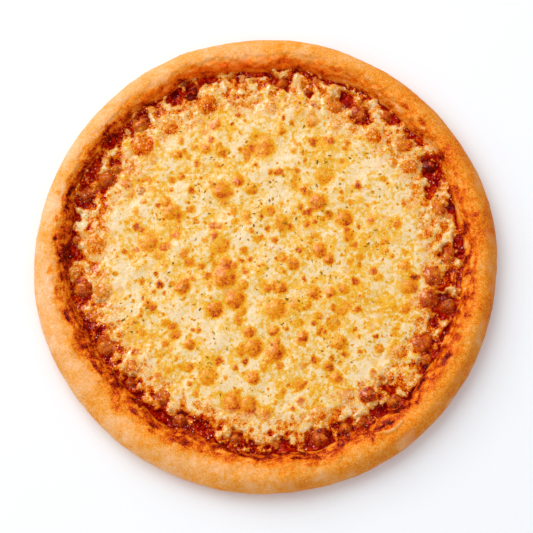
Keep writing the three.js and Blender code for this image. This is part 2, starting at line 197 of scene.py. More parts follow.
def ranked(values):
    """Values replaced by their rank from 0 to 1, so that each level covers the same share of the places."""
    ranks = np.empty(len(values))
    ranks[np.argsort(values)] = np.linspace(0, 1, len(values))
    return ranks


def step(value, low, high):
    """0 below low, 1 above high and smooth between; low may be the larger."""
    share = np.clip((value - low) / (high - low), 0, 1)
    return share * share * (3 - 2 * share)


def ridge(value, crest, width):
    return np.exp(-(((value - crest) / width) ** 2))


def dome(distance):
    """A dome's height at a distance from its middle, both in radii of it."""
    return (1 - np.clip(distance, 0, 1) ** 2) ** 1.3


def towards(angle, degrees):
    """How far each angle is on the side of a direction: 1 in that direction and 0 opposite."""
    return 0.5 + 0.5 * np.cos(angle - math.radians(degrees))


def facing(angle, degrees):
    """1 in a direction, 0 a quarter turn from it and beyond."""
    return np.maximum(np.cos(angle - math.radians(degrees)), 0)


def waves(terms, angle):
    return sum(size * np.cos(count * (angle - math.radians(crest))) for count, size, crest in terms)


def ripples(terms, x, y):
    total = 0
    for length, size, direction, phase in terms:
        along = x * math.cos(math.radians(direction)) + y * math.sin(math.radians(direction))
        total = total + size * np.cos(math.tau * along / length + math.radians(phase))
    return total


def polar(degrees, radius):
    return radius * math.cos(math.radians(degrees)), radius * math.sin(math.radians(degrees))


def turned(x, y, cx, cy, degrees):
    """How far places lie from a middle, along a direction and to the left of it."""
    turn = math.radians(degrees)
    ahead = (x - cx) * math.cos(turn) + (y - cy) * math.sin(turn)
    return ahead, (y - cy) * math.cos(turn) - (x - cx) * math.sin(turn)


def sauce_edge(angle):
    return SAUCE_RADIUS + waves(SAUCE_EDGE_WAVES, angle)


def uneven_radius(radius, angle):
    """A radius on the even pizza, moved to where the waves of the outside and the sauce's edge put it."""
    edge = sauce_edge(angle)
    outside = CRUST_RADIUS + waves(OUTSIDE_WAVES, angle)
    share = (radius - SAUCE_RADIUS) / (CRUST_RADIUS - SAUCE_RADIUS)
    return np.where(radius <= SAUCE_RADIUS, radius * edge / SAUCE_RADIUS, edge + share * (outside - edge))


# ---- Meshes ----
def make_piece(name, places, faces, material, replaced, fields=None):
    """A smooth-shaded piece on the root body, for places in millimetres and fields of one number a vertex."""
    mesh = bpy.data.meshes.new(name)
    mesh.from_pydata(places * MM, [], faces)
    mesh.shade_smooth()
    for field, values in (fields or {}).items():
        attribute = mesh.attributes.new(field, "FLOAT", "POINT")
        attribute.data.foreach_set("value", values.astype(np.float32))
    mesh.materials.append(material)
    piece = bpy.data.objects.new(name, mesh)
    bpy.context.scene.collection.objects.link(piece)
    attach(piece, "root")
    if replaced:
        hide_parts(*replaced)


def loft(rows):
    """Places and faces of closed rows of points, each joined to the next, with a fan on the first and the
    last."""
    count, around, _ = rows.shape
    places = [rows.reshape(-1, 3), rows[0].mean(0)[None], rows[-1].mean(0)[None]]
    i = np.arange(around)
    after = (i + 1) % around
    faces = []
    for row in range(count - 1):
        a, b = row * around, (row + 1) * around
        faces += np.stack([a + i, a + after, b + after, b + i], 1).tolist()
    first, last = count * around, count * around + 1
    faces += np.stack([np.full(around, first), after, i], 1).tolist()
    top = (count - 1) * around
    faces += np.stack([np.full(around, last), top + i, top + after], 1).tolist()
    return np.concatenate(places), faces


def first_of(ring):
    """The number of a ring's first point in ringed_disc(), after the middle and the rings inside it."""
    return 1 + 3 * ring * (ring - 1) if ring else 0


def ringed_disc(rings):
    """Shares of the way out, angles and faces of a disc whose rings each hold six points more than the
    last."""
    shares, angles, faces = [0.0], [0.0], []
    for ring in range(1, rings + 1):
        count = 6 * ring
        i = np.arange(count)
        shares.append(np.full(count, ring / rings))
        angles.append(i * math.pi / (3 * ring))
        sixth = i // ring
        outer, outer_next = first_of(ring) + i, first_of(ring) + (i + 1) % count
        inner_count = max(1, 6 * (ring - 1))
        inner = first_of(ring - 1) + (i - sixth) % inner_count
        inner_next = first_of(ring - 1) + (i - sixth + 1) % inner_count
        faces.append(np.stack([outer, outer_next, inner], 1))
        between = i % ring < ring - 1
        faces.append(np.stack([outer_next, inner_next, inner], 1)[between])
    return np.hstack(shares), np.hstack(angles), np.concatenate(faces)


# ---- Crust ----
AROUND = 1080  # points round the crust and the sauce
BOTTOM_SHARE = 0.985  # of a layer's radius, that its bottom reaches
SLOPE_HEIGHT = 16  # about how high the marks on the rim's inner slope lie
SLOPE_BUBBLES = 220
SLOPE_WIDTH = 12  # that the bubbles are spread over
BUBBLE_RADIUS = (1.2, 4.0)
BUBBLE_SQUASH = 1.6  # they are that much longer round the rim than across it

# Marks that charred on the rim: angle, distance from the middle, how long round the rim, how wide and how
# dark
CHAR_MARKS = [
    (138.5, 137, 13, 3.5, 1.0), (132, 134, 9, 5, 0.65), (139.5, 132, 17, 7, 0.85),
    (160, 137.5, 10, 4, 0.7), (152, 134.5, 22, 2.5, 0.7), (163.5, 135, 12, 4, 0.75),
    (172.5, 137.5, 4, 2.5, 0.9), (174, 132.5, 4, 3, 1.0), (177, 131, 13, 6, 0.85),
    (160, 142.5, 4, 4, 0.4), (150, 131.5, 20, 3, 0.6), (167, 139, 5, 2.5, 0.5), (187, 137, 9, 3, 0.6),
    (181, 139.5, 7, 5, 0.4), (183, 133, 8, 2.5, 0.9), (190, 131, 8, 3, 0.6), (194, 133, 9, 3, 0.95),
    (200, 131, 12, 3, 0.6), (204, 129, 7, 2.5, 0.6), (211, 128.5, 14, 3, 0.85), (223, 134, 7, 6, 0.35),
    (226, 123, 12, 2.5, 0.9), (218, 125, 5, 4, 0.7), (228, 127, 6, 4, 0.6), (235, 127, 14, 3, 0.5),
    (244, 127.5, 15, 4.5, 0.9), (246, 122, 20, 2, 0.6), (254, 123.5, 12, 2, 0.4), (251, 129, 6, 2, 0.6),
    (259, 129, 8, 5, 0.35), (262, 125, 14, 1.8, 0.3), (279, 127, 6, 3, 1.0), (283, 134, 12, 3, 0.35),
    (301, 133, 5, 5, 0.6), (290, 132, 14, 3, 0.3), (297, 130, 8, 2.5, 0.4), (313, 128, 9, 3.5, 0.6),
    (318, 133, 5, 3, 0.5), (326, 131, 9, 5, 0.5), (333, 131, 8, 4.5, 0.75), (339, 134, 6, 4, 0.4),
    (346, 134, 5, 4, 0.5), (356, 134, 8, 5, 0.3), (352, 131, 6, 3, 0.4), (2, 131.5, 6, 5, 0.7),
    (12, 132, 8, 5, 0.6), (14, 141, 6, 5, 0.4), (26, 137, 4, 2.5, 0.5), (33, 135.5, 7, 3.5, 0.7),
    (43, 138.5, 7, 4, 0.7), (41, 134, 6, 3, 0.6), (50, 139, 8, 2.5, 0.6), (52, 131, 14, 3.5, 0.7),
    (62, 137.5, 6, 4, 0.4), (64, 131, 10, 2.5, 0.7), (71, 137, 9, 4, 0.45), (75, 131, 12, 2.5, 0.6),
    (82, 135, 9, 4, 0.45), (90, 132, 8, 4, 0.55), (85, 136.5, 9, 5, 0.55), (96, 134, 8, 3.5, 0.6),
    (101, 135, 7, 5, 0.7), (107, 133.5, 9, 9, 0.7), (114, 134, 10, 6, 0.65), (119, 130, 8, 6, 0.85),
    (120, 136, 6, 3, 0.5), (126, 134, 10, 4, 0.45), (130, 138, 7, 5, 0.3), (146, 136, 8, 3, 0.5),
]
# A leaf-shaped fold on the slope: x, y, length, width and direction
LEAF = (79.5, -103.5, 24, 9.5, 28)

# Where the sauce burnt black: x, y and radius
BURNT_PLACES = [
    (-60, 114, 5), (-49, 113, 5), (-98, 86, 4), (107, 65, 4), (120, 39, 3.5), (125, 35, 3), (-57, -99, 5),
    (-52, -105, 4), (34, -113, 5), (18, -124, 3), (75, -94, 4), (105, -66, 5), (118, -25, 6),
    (-128, 8, 4), (-102, -66, 3), (-22, 127, 3), (49, 113, 4), (62, 104, 3),
]


def arc(centre, wide, high, start, end, steps):
    angle = np.radians(np.linspace(start, end, steps))
    return np.stack([centre[0] + wide * np.cos(angle), centre[1] + high * np.sin(angle)], 1)


def rim_bubbles(x, y):
    total = 0
    for degrees, distance, width, height in RIM_BUBBLES:
        bx, by = polar(degrees, distance)
        total = total + height * np.exp(-((x - bx) ** 2 + (y - by) ** 2) / (width / 2) ** 2)
    return total


def crust_profile():
    """Radius and height along the rim's section: from under the base, out, over the crest and in to the
    floor under the sauce."""
    crest, foot = CRUST_RADIUS - RIM_CREST_INSET, SAUCE_RADIUS - SAUCE_EDGE_INSET
    table_edge = CRUST_RADIUS - TABLE_INSET
    base = np.stack([np.linspace(8, table_edge - 1, 8), np.zeros(8)], 1)
    under = arc((table_edge, RIM_BULGE_HEIGHT), TABLE_INSET, RIM_BULGE_HEIGHT, -90, 0, 14)
    outer = arc((crest, RIM_BULGE_HEIGHT), RIM_CREST_INSET, RIM_HEIGHT - RIM_BULGE_HEIGHT, 0, 90, 24)
    inner = arc((crest, BASE_THICKNESS), foot - crest, RIM_HEIGHT - BASE_THICKNESS, 90, 0, 38)
    floor = np.array([[foot - 4, BASE_THICKNESS], [60, BASE_THICKNESS]])
    return np.concatenate([base, under, outer[1:], inner[1:], floor])


def slope_bubbles(angle, past_sauce):
    """How high small bubbles on the inner slope stand at each place, and how far it is from the nearest one,
    in its radii."""
    rng = np.random.default_rng(12)
    height = np.zeros(np.broadcast(angle, past_sauce).shape)
    nearest = np.full(height.shape, 9.0)
    around = SAUCE_RADIUS + 5
    low, high = BUBBLE_RADIUS
    for _ in range(SLOPE_BUBBLES):
        turn, across = rng.uniform(0, math.tau), SLOPE_WIDTH * rng.random()
        radius = low + (high - low) * rng.random() ** 2
        along = around * ((angle[0] - turn + math.pi) % math.tau - math.pi)
        columns = np.flatnonzero(np.abs(along) < 1.6 * radius)
        far = np.hypot(along[columns][None, :], BUBBLE_SQUASH * (past_sauce - across)) / radius
        height[:, columns] = np.maximum(height[:, columns], 0.3 * radius * dome(far))
        nearest[:, columns] = np.minimum(nearest[:, columns], far)
    return height, nearest


def above_base(z):
    """0 on the dough's base and 1 on the rim."""
    return step(z, 6, 9)


def leaf_place(x, y):
    """Places as seen from the leaf-shaped fold: along it and across it, from -1 to 1 inside its outline."""
    px, py, length, width, degrees = LEAF
    along, across = turned(x, y, *from_picture(px, py, SLOPE_HEIGHT), degrees)
    along, across = along / (length / 2), across / (width / 2)
    return along, across / np.maximum(1 - along**2, 0.05)


def leaf_fold(x, y):
    """The fold's raised lip, with the dough sunk inside it."""
    along, across = leaf_place(x, y)
    inside = step(np.abs(along), 1, 0.9)
    lip = ridge(np.abs(across), 1, 0.28)
    return inside * (1.5 * lip - 0.7 * step(np.abs(across), 0.95, 0.7))


def leaf_tone(x, y):
    """The fold's pale lip, and the burnt streaks inside the half of it that is nearer to the sauce."""
    along, across = leaf_place(x, y)
    inside = step(np.abs(along), 0.95, 0.8) * step(np.abs(across), 0.95, 0.7) * step(along, 0.4, 0.0)
    lip = step(np.abs(along), 1, 0.9) * ridge(np.abs(across), 1, 0.25)
    burnt = step(noise(along * 2.2, across * 1.6, seed=58), -0.1, 0.4)
    return inside * (0.05 + 0.2 * burnt) - 0.25 * lip


def charring(x, y, angle, past_sauce):
    """How charred each place of the rim is, from its marks, their outlines frayed by noise."""
    total = np.zeros_like(x)
    frayed = 0.6 * rough(x, y, size=3.5, seed=40) + 0.7 * ring_noise(angle, past_sauce, 10, 2.2, 41)
    for degrees, distance, length, width, dark in CHAR_MARKS:
        middle = from_picture(*polar(degrees, distance), SLOPE_HEIGHT)
        across, along = turned(x, y, *middle, degrees)
        far = np.hypot(across / width, along / length) * 2
        total = np.maximum(total, dark * step(far + 0.6 * frayed, 1.35, 0.35))
    return total


def crust_fields(x, y, z, angle, past_sauce, slope, from_bubble):
    """What the crust's material reads: how dark it is, with painted light and shade; where it is floured;
    where its outer side is browned with painted shade; and where its slope is reddened with painted light.
    """
    up = above_base(z)
    tone = crust_tone(x, y, z, angle, past_sauce)
    tone += up * charring(x, y, angle, past_sauce) * (0.95 - tone)
    tone += slope * (0.07 * ridge(from_bubble, 1.05, 0.3) - 0.06 * dome(from_bubble))
    tone += up * leaf_tone(x, y)
    outer = outer_side(x, y)
    floury = step(noise(x, y, z, 12, seed=54), -0.5, 0.7)
    near_sauce = step(past_sauce + 2 * ring_noise(angle, past_sauce, 9, 4, 44), 9, 3)
    fields = {
        # Browning, with painted light and shade by how each part faces the lamp
        "baked_and_painted_light": tone,
        "floured": outer * (0.25 + 0.75 * towards(angle, -45)) * floury,
        # Brown tan and painted shade on the rim's outer side, most at the right, away from the lamp
        "tanned_and_painted_shade": np.clip(outer * (facing(angle, -25) + 0.25 * noise(x, y, z, 14, seed=49)), 0, 1),
        # Red-orange on the inner slope: a sauce stain, and painted light on its shaded top, away from the
        # lamp
        "ruddy_and_painted_light": slope * (0.08 + 0.6 * facing(angle, 97) ** 6 * near_sauce),
    }
    return {key: np.append(np.broadcast_to(values, z.shape), (0, 0)) for key, values in fields.items()}


def outer_side(x, y):
    """0 inside the rim's crest and 1 on the rim's outer side."""
    return step(np.hypot(x, y), CRUST_RADIUS - RIM_CREST_INSET, CRUST_RADIUS - 5)


def build_crust():
    profile = crust_profile()
    angle = np.linspace(0, math.tau, AROUND, endpoint=False)[None, :]
    radius, height = profile[:, 0][:, None], profile[:, 1][:, None]
    past_sauce = radius - SAUCE_RADIUS
    moved = uneven_radius(radius, angle)
    x, y = moved * np.cos(angle), moved * np.sin(angle)
    risen = step(height, SAUCE_LEVEL + 1, RIM_HEIGHT)
    z = height + risen * waves(CREST_WAVES, angle) + np.sqrt(risen) * rim_bubbles(x, y)
    bubbles, from_bubble = slope_bubbles(angle, past_sauce)
    slope = above_base(z) * step(past_sauce, 14, 7) * step(past_sauce, -2, 1)
    fields = crust_fields(x, y, z, angle, past_sauce, slope, from_bubble)

    # The skin swells and sinks along the section's outward direction, with folds round the inner slope
    section = np.gradient(profile, axis=0)
    out = np.stack([section[:, 1], -section[:, 0]], 1) / np.linalg.norm(section, axis=1)[:, None]
    skin = step(z, 0.3, 4)
    outer = outer_side(x, y)
    swell = (0.5 - 0.22 * outer) * rough(x, y, z, 24, seed=10)
    swell += (0.22 - 0.08 * outer) * rough(x, y, z, 6, seed=20)
    folds = 0.8 * ring_noise(angle, past_sauce, 8, 4, 30) + 0.45 * rough(x, y, z, 3.5, seed=31, octaves=2)
    push = swell + slope * (folds + bubbles) + 0.3 * noise(x, y, z, 60, seed=35) + leaf_fold(x, y)
    push = skin * push
    x = x + push * out[:, 0][:, None] * np.cos(angle)
    y = y + push * out[:, 0][:, None] * np.sin(angle)
    z = np.maximum(z + push * out[:, 1][:, None], 0)
    places, faces = loft(np.stack(np.broadcast_arrays(x, y, z), -1))
    make_piece("crust_baked", places, faces, crust_material(), ["crust"], fields)


def crust_tone(x, y, z, angle, past_sauce):
    """How dark each place of the crust is, from 0 for pale to 1 for black, before its charred marks: its
    browning, with painted shade and painted light by how each part faces the lamp.
    """
    # Darker to the right and low on the outer wall: browning, and painted shade on the side away from the
    # lamp and under the bulge
    rim = 0.27 + 0.25 * towards(angle, -10) + 0.09 * rough(x, y, z, 26, seed=53) + 0.1 * step(z, 9, 2)
    # The inner slope, stained by sauce and fat, more so towards the sauce
    wider = 2.5 * facing(angle, 190)
    width = 10.8 + wider + 2.5 * ring_noise(angle, 0, 30, 1, 50) + 1.5 * rough(x, y, z, 7, seed=51)
    stained = above_base(z) * step(past_sauce, width, width - 10)
    # Painted light and shade: the slope is painted paler where it faces away from the lamp (shaded) and
    # darker where it faces the lamp
    shaded = towards(angle, 80)
    lower_left, far_left = facing(angle, 225) ** 2, facing(angle, 178) ** 4
    tone = rim + (0.8 - 0.3 * shaded - 0.12 * lower_left + 0.06 * far_left - rim) * stained
    drawn = 0.15 * ring_noise(angle, past_sauce, 12, 3, 55) + 0.1 * rough(x, y, z, 3, seed=56, octaves=2)
    uneven = past_sauce + 2 * rough(x, y, z, 9, seed=59)
    cracks = step(np.abs(ring_noise(angle, uneven, 26, 5, 58)), 0.09, 0.0)
    drawn += 0.12 * cracks + 0.1 * np.tanh(3 * ring_noise(angle, past_sauce, 9, 1.3, 98))
    streaks = np.tanh(3 * ring_noise(angle, past_sauce, 6, 3.5, 97) - 0.3)
    drawn += (0.11 + 0.08 * towards(angle, 330)) * streaks
    drawn = np.minimum(drawn, 0.5 * drawn) + 0.06  # the darkest streaks are those of the charred marks
    patchy = step(ring_noise(angle, 0, 26, 1, 57), -0.9, 0.2)
    tide = above_base(z) * step(past_sauce + 1.6 * rough(x, y, z, 3, seed=52), 6, 0) * patchy
    # The tide line is also painted fainter where the slope is shaded
    return tone + stained * drawn + (0.12 - 0.04 * shaded - 0.08 * towards(angle, 300) ** 2) * tide


# ---- Sauce ----
def sauce_height(x, y):
    """The sauce's top: level under the cheese, lumpy where it shows, and a little up the rim's slope at its
    edge."""
    distance, angle = np.hypot(x, y), np.arctan2(y, x)
    shows = step(distance, 102, 112)
    lumps = 0.8 * rough(x, y, size=6, seed=60) + 0.5 * np.abs(noise(x, y, size=2.4, seed=61))
    climb = 1.8 * step(distance - sauce_edge(angle), -5, 1)
    return SAUCE_LEVEL + shows * (lumps + climb - 0.1)


def build_sauce():
    angle = np.linspace(0, math.tau, AROUND, endpoint=False)[None, :]
    # Few rows under the cheese, and many where the sauce shows
    share = np.concatenate([np.linspace(0.05, 0.78, 6), np.linspace(0.8, 1, 46)])[::-1][:, None]
    reach = sauce_edge(angle) + 0.9 + 0.8 * ring_noise(angle, 0, 6, 1, 62)
    x, y = share * reach * np.cos(angle), share * reach * np.sin(angle)
    top = np.stack(np.broadcast_arrays(x, y, sauce_height(x, y)), -1)
    bottom = top[:1] * (BOTTOM_SHARE, BOTTOM_SHARE, 0) + (0, 0, BASE_THICKNESS + 0.3)
    middle = bottom * (0.2, 0.2, 1)
    places, faces = loft(np.concatenate([middle, bottom, top]))
    x, y, z = places.T
    past_edge = np.hypot(x, y) - sauce_edge(np.arctan2(y, x))
    burnt = step(past_edge + 1.5 * rough(x, y, size=4, seed=63), -1.5, 1.5)
    for px, py, radius in BURNT_PLACES:
        cx, cy = from_picture(px, py, SAUCE_LEVEL)
        far = np.hypot(x - cx, y - cy) / radius + 0.5 * rough(x, y, size=4, seed=64)
        burnt = np.maximum(burnt, step(far, 1.2, 0.3))
    make_piece("sauce_layer", places, faces, sauce_material(), ["sauce"], {"burnt": burnt})


# ---- Cheese ----
CHEESE_RINGS = 178
CHEESE_BOTTOM = SAUCE_LEVEL - 1.2

# Where the sauce lies bare between the crust and the cheese: angle, distance from the middle, length round
# the rim and width
SAUCE_POOLS = [
    (4, 117.5, 8, 6), (6, 126.5, 12, 5), (17.5, 126.5, 9, 9), (24.5, 119, 7, 6), (30.5, 126, 18, 10),
    (41, 129, 12, 4), (51, 129, 11, 5), (58, 118.5, 8, 11), (65, 122.5, 9, 8), (67, 131, 22, 2),
    (73, 129.5, 8, 3), (77, 119, 4, 3), (85, 122.5, 12, 6), (92, 129, 7, 4), (97, 127, 8, 5),
    (107.5, 130, 11, 6), (112.5, 125, 7, 11), (117.5, 127.5, 8, 8), (131.5, 126, 14, 8),
    (139, 131, 20, 8), (145.5, 118, 6, 5), (148.5, 128.5, 9, 4), (151, 118, 9, 9), (158.5, 126, 12, 9),
    (165, 129.5, 9, 4), (171, 126, 5, 4), (176, 128, 14, 13), (187, 121, 12, 10), (199, 125.5, 17, 5),
    (207, 117, 9, 7), (220.5, 115.5, 6, 4), (228, 121.5, 12, 2), (235, 120, 14, 5), (241.5, 116, 8, 7),
    (248.5, 116, 11, 8), (256, 122, 18, 2.5), (263, 117, 17, 3), (261, 113, 5, 4), (275.5, 118.5, 8, 8),
    (272, 124, 10, 2.5), (285, 125.5, 22, 3), (286.5, 119.5, 15, 10), (296, 117.5, 9, 6),
    (301.5, 122.5, 8, 6), (308.5, 119, 11, 7), (313, 124, 9, 8), (315, 112.5, 4, 8), (330, 123.5, 14, 9),
    (334, 116, 9, 6), (342, 115.5, 5, 4), (347.5, 120, 14, 14), (355, 126.5, 15, 4), (355, 116, 9, 6),
]
# Where the cheese stayed pale, below 0, or turned golden: x, y, radius and how far
PATCHES = [
    (-58, 74, 8, -0.7), (-38, 70, 5, -1.1), (-57, 83, 5, -0.8), (-18, 80, 6, -0.9), (1, 60, 8, -1.3),
    (8, 46, 7, -0.9), (-46, 37, 5, -1.1), (-82, 39, 6, -1.0), (-95, 31, 7, -0.8), (-16, 19, 6, -1.3),
    (-6, 26, 6, -0.6), (-92, -1, 8, -1.0), (-87, -22, 7, -1.3), (-96, -13, 5, -0.8), (-77, 1, 6, -0.7),
    (-32, -50, 7, -1.2), (-40, -38, 8, -0.7), (-12, -66, 5, -1.1), (-24, -77, 6, -0.8), (44, -3, 9, -0.7),
    (68, -17, 5, -0.8), (63, -66, 9, -1.0), (76, -48, 8, -0.8), (60, -50, 7, -0.6), (50, 52, 8, -0.7),
    (61, 64, 6, -0.7), (75, 66, 7, -0.9), (72, 50, 5, -1.1), (85, 47, 5, -0.9), (11, 73, 8, -0.7),
    (-42, 20, 6, -0.7), (2, -99, 6, -0.7), (15, -97, 6, -0.7), (14, -84, 7, -0.7), (-53, -90, 7, -0.7),
    (-62, -24, 7, -0.5), (-118, 47, 5, -1.0), (-119, 34, 6, -1.0), (-94, 42, 6, -0.7), (-60, 12, 6, -0.5),
    (-56, 56, 7, -0.5), (31, 71, 7, 1.0), (18, 60, 6, 0.8), (39, 59, 5, 0.7), (-60, 91, 9, 0.7),
    (-8, 52, 4, 0.8), (-56, 31, 8, 1.0), (-76, 15, 10, 1.0), (-67, 9, 6, 0.8), (-33, 14, 9, 0.9),
    (-1, 81, 7, 0.8), (52, -22, 14, 0.8), (34, -18, 9, 0.7), (20, -29, 12, 0.7), (75, -29, 8, 0.7),
    (-87, -46, 10, 0.9), (-63, -70, 9, 0.8), (-38, -67, 9, 0.8), (60, 18, 9, 0.9), (67, 11, 6, 0.9),
    (72, 30, 8, 0.6), (92, 36, 5, 0.7), (34, 27, 7, 0.8), (12, 27, 6, 0.8), (-84, 57, 9, 0.8),
    (-42, 62, 7, 0.5), (20, -66, 7, 0.6), (8, -14, 7, 0.8), (92, -24, 8, 0.5), (98, 6, 6, 0.6),
]
SPOTS = 1100  # small browned spots
SPOTTED_RADIUS = 118  # of the disc that they are spread over
SPOT_RADIUS = (0.7, 3.0)
FATTY_SPOTS = 420  # wider ones that are only yellow with fat
SPOT_REACH = 3.6  # radii of a spot, that it is worked out for
TOASTED = 0.45  # how browned the cheese gets between its spots


def patches(x, y):
    """How much more golden than the rest each place of the cheese is, or below 0 how much paler."""
    bent_x = x + 3 * rough(x, y, size=11, seed=95)
    bent_y = y + 3 * rough(x, y, size=11, seed=96)
    total = 0
    for px, py, radius, far in PATCHES:
        cx, cy = from_picture(px, py, CHEESE_LEVEL)
        total = total + far * np.exp(-((bent_x - cx) ** 2 + (bent_y - cy) ** 2) / radius**2)
    return total


def random_spots(count, seed):
    """x, y, radius and browning of small spots, thick in some parts of the cheese and thin in others."""
    rng = np.random.default_rng(seed)
    distance, angle = SPOTTED_RADIUS * np.sqrt(rng.random(count)), rng.random(count) * math.tau
    x, y = distance * np.cos(angle), distance * np.sin(angle)
    crowded = np.clip(0.45 + 0.55 * patches(x, y) + 0.25 * noise(x, y, size=30, seed=seed + 1), 0, 1)
    low, high = SPOT_RADIUS
    radius = low + (high - low) * rng.random(count) ** 2.3
    browned = 0.5 + 0.36 * rng.random(count) ** 1.3
    kept = rng.random(count) < 0.38 + 0.62 * crowded
    return np.stack([x, y, radius, browned], 1)[kept]


def raise_to(values, near, level):
    """Lifts the values at the places near a spot to a level, where they are lower."""
    values[near] = np.maximum(values[near], level)


def pull_to(values, near, level, share):
    """Moves the values at the places near a spot that share of the way to a level."""
    values[near] += (level - values[near]) * share


def near_spot(x, y, cx, cy, radius):
    """Which places lie near a spot, and how far each is from its middle, in radii."""
    near = np.flatnonzero(np.abs(x - cx) + np.abs(y - cy) < SPOT_REACH * radius)
    return near, np.hypot(x[near] - cx, y[near] - cy) / radius


def painted_highlight_spot(x, y, radius):
    """How much painted highlight lies at a place on a blister, as seen from its middle: most at the
    upper left, the side towards the lamp."""
    return step(np.hypot(x + 0.2 * radius, y - 0.25 * radius) / radius, 0.95, 0.2)


def away_from_lamp(x, y, radius):
    """How far towards the lower right of a blister a place is, as seen from its middle: the side away from
    the lamp, where blisters and domes get painted shade.
    """
    return (x - y) / (1.4 * radius)


def pool_depth(x, y):
    """How far inside a pool of bare sauce a place is, in millimetres; below 0 outside."""
    deepest = np.full(len(x), -99.0)
    for degrees, distance, length, width in SAUCE_POOLS:
        middle = from_picture(*polar(degrees, distance), CHEESE_LEVEL)
        outwards, along = turned(x, y, *middle, degrees)
        share = np.hypot(along / length, outwards / width) * 2
        inside = min(length, width) / 2
        deepest = np.maximum(deepest, (1 - share) * np.where(share < 1, inside, (length + width) / 4))
    return deepest


def domes(x, y):
    """For each dome: its middle, radius and redness, the places near it, and their distance from it in radii,
    which noise makes uneven."""
    for degrees, distance, radius, red in DOMES:
        cx, cy = from_picture(*polar(degrees, distance), CHEESE_LEVEL)
        near, far = near_spot(x, y, cx, cy, radius)
        yield cx, cy, radius, red, near, far * (1 + 0.2 * noise(x[near], y[near], size=radius, seed=94))


def cheese_lumps(x, y):
    """The lumps of the cheese at its ragged edge: pale where they stand high, with sauce between them."""
    return rough(x, y, size=6, seed=70, octaves=4)


def cheese_depth(x, y, lumpy, golden):
    """How far inside the cheese's ragged edge a place is, in millimetres: below 0, only sauce shows. Also
    how much of the sauce shows through or lies on the cheese there, from 0 to 1, with painted shade on each
    dome's side away from the lamp."""
    distance, angle = np.hypot(x, y), np.arctan2(y, x)
    bent_x = x + 2.4 * rough(x, y, size=5, seed=68)
    bent_y = y + 2.4 * rough(x, y, size=5, seed=69)
    inwards = sauce_edge(angle) - distance
    clumps = 2.6 + 0.5 * np.minimum(inwards, 30) + 4.2 * lumpy
    pools = pool_depth(bent_x, bent_y) + 1.6 * rough(x, y, size=3, seed=71, octaves=2)
    depth = np.minimum(clumps, -pools)
    at_ring = step(distance + 5 * towards(angle, 262) ** 3, 91, 117)
    patchy = np.tanh(2.5 * (0.4 * noise(x, y, size=14, seed=85) - lumpy))
    sauced = 0.36 * at_ring - 0.1 + (0.1 + 0.27 * at_ring) * patchy + 0.25 * np.minimum(golden, 0)
    sauced += 0.36 * step(pools, -2.5, 1.0) + 0.28 * step(inwards, 7, 1) + 0.3 * step(depth, 4.5, 0)
    sauced += 0.35 * facing(angle, 228) ** 2 * step(distance, 103, 113)
    wrinkles = np.abs(rough(bent_x, bent_y, size=7, seed=66, octaves=2))
    sauced += 0.2 * at_ring * step(wrinkles, 0.2, 0.0)
    for cx, cy, radius, red, near, far in domes(x, y):
        raise_to(depth, near, 1.6 * radius * (1.15 - far))
        inside = step(far + 0.15 * noise(x[near], y[near], size=3, seed=84), 1.3, 0.85)
        uneven = 0.3 * rough(x[near], y[near], size=3.2, seed=86) + 0.05 * step(far, 0.5, 1.1)
        # Painted shade: each dome darker and redder on its side away from the lamp
        uneven = uneven + 0.1 * away_from_lamp(x[near] - cx, y[near] - cy, radius)
        pull_to(sauced, near, 0.16 + 0.78 * red + uneven, inside)
    return depth, sauced


def cheese_height(x, y, depth, lumpy):
    full = CHEESE_LEVEL + 0.7 * ripples(CHEESE_RIPPLES, x, y)
    lumps = 0.28 * rough(x, y, size=8, seed=72) + 0.1 * noise(x, y, size=2.6, seed=73)
    at_edge = step(np.hypot(x, y), 98, 114)
    clumps = 0.8 * at_edge * lumpy
    sunk = sauce_height(x, y) - 1.6
    return sunk + (full + lumps + clumps - sunk) * step(depth, -1.2, 5.0) ** 0.7


